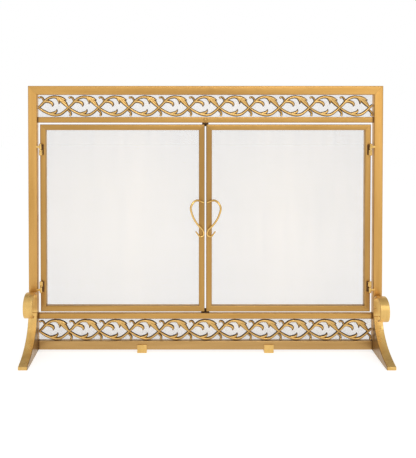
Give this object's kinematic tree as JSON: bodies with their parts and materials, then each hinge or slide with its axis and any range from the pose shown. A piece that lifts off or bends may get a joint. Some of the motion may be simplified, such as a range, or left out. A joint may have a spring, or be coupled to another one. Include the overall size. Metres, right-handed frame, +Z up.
{
  "type": "fireplace screen",
  "caption": "Free-standing gold fireplace screen: square-tube frame on scrolled feet, with hinged wire-mesh doors between an upper and a lower band of cast vine scrollwork",
  "frame": {"origin": "on the floor under the centre of the whole object", "axes": "+X to the right of someone facing the screen, +Y away from them towards the fire, +Z up"},
  "size_m": [1.118, 0.246, 0.8455],
  "materials": {
    "gold_paint": "satin antique-gold sprayed paint on steel tube",
    "cast_gold": "antique-gold paint on rough cast metal, darker in the hollows",
    "hardware_gold": "brighter gold paint on wire and turned hinge barrels",
    "mesh_wire": "fine woven wire cloth with a pale gold-grey coat",
    "dark_steel": "dark bronze-brown enamel on pressed steel",
    "black_plastic": "matt moulded plastic"
  },
  "bodies": {
    "frame": {"left_stile": "gold_paint", "right_stile": "gold_paint", "top_rail": "gold_paint", "bottom_rail": "gold_paint", "upper_middle_rail": "gold_paint", "lower_middle_rail": "gold_paint", "upper_catch": "dark_steel", "lower_catch": "dark_steel", "upper_catch_screw": "hardware_gold", "lower_catch_screw": "dark_steel", "upper_vine_panel": "cast_gold", "lower_vine_panel": "cast_gold", "upper_band_mesh": "mesh_wire", "lower_band_mesh": "mesh_wire", "left_front_foot": "gold_paint", "left_foot_scroll": "gold_paint", "left_rear_foot": "gold_paint", "left_stile_plug": "black_plastic", "left_rail_foot": "gold_paint", "left_upper_stile_knuckle": "hardware_gold", "left_lower_stile_knuckle": "hardware_gold", "left_upper_hinge_pin": "hardware_gold", "left_lower_hinge_pin": "hardware_gold", "right_front_foot": "gold_paint", "right_foot_scroll": "gold_paint", "right_rear_foot": "gold_paint", "right_stile_plug": "black_plastic", "right_rail_foot": "gold_paint", "right_upper_stile_knuckle": "hardware_gold", "right_lower_stile_knuckle": "hardware_gold", "right_upper_hinge_pin": "hardware_gold", "right_lower_hinge_pin": "hardware_gold"},
    "left_door": {"left_door_hinge_stile": "gold_paint", "left_door_lock_stile": "gold_paint", "left_door_top_rail": "gold_paint", "left_door_bottom_rail": "gold_paint", "left_door_mesh": "mesh_wire", "left_door_handle": "hardware_gold", "left_upper_door_knuckle": "hardware_gold", "left_lower_door_knuckle": "hardware_gold", "left_door_lock_mesh_clamp": "gold_paint", "left_door_hinge_mesh_clamp": "gold_paint", "left_door_top_mesh_clamp": "gold_paint", "left_door_bottom_mesh_clamp": "gold_paint"},
    "right_door": {"right_door_hinge_stile": "gold_paint", "right_door_lock_stile": "gold_paint", "right_door_top_rail": "gold_paint", "right_door_bottom_rail": "gold_paint", "right_door_mesh": "mesh_wire", "right_door_handle": "hardware_gold", "right_upper_door_knuckle": "hardware_gold", "right_lower_door_knuckle": "hardware_gold", "right_door_lock_mesh_clamp": "gold_paint", "right_door_hinge_mesh_clamp": "gold_paint", "right_door_top_mesh_clamp": "gold_paint", "right_door_bottom_mesh_clamp": "gold_paint"}
  },
  "joints": [
    {"name": "left_door_hinge", "type": "hinge", "parent": "frame", "child": "left_door", "pos_m": [-0.52, 0.024, 0.4275], "axis": [0, 0, -1], "range_deg": [0, 95]},
    {"name": "right_door_hinge", "type": "hinge", "parent": "frame", "child": "right_door", "pos_m": [0.52, 0.024, 0.4275], "axis": [0, 0, 1], "range_deg": [0, 95]}
  ]
}
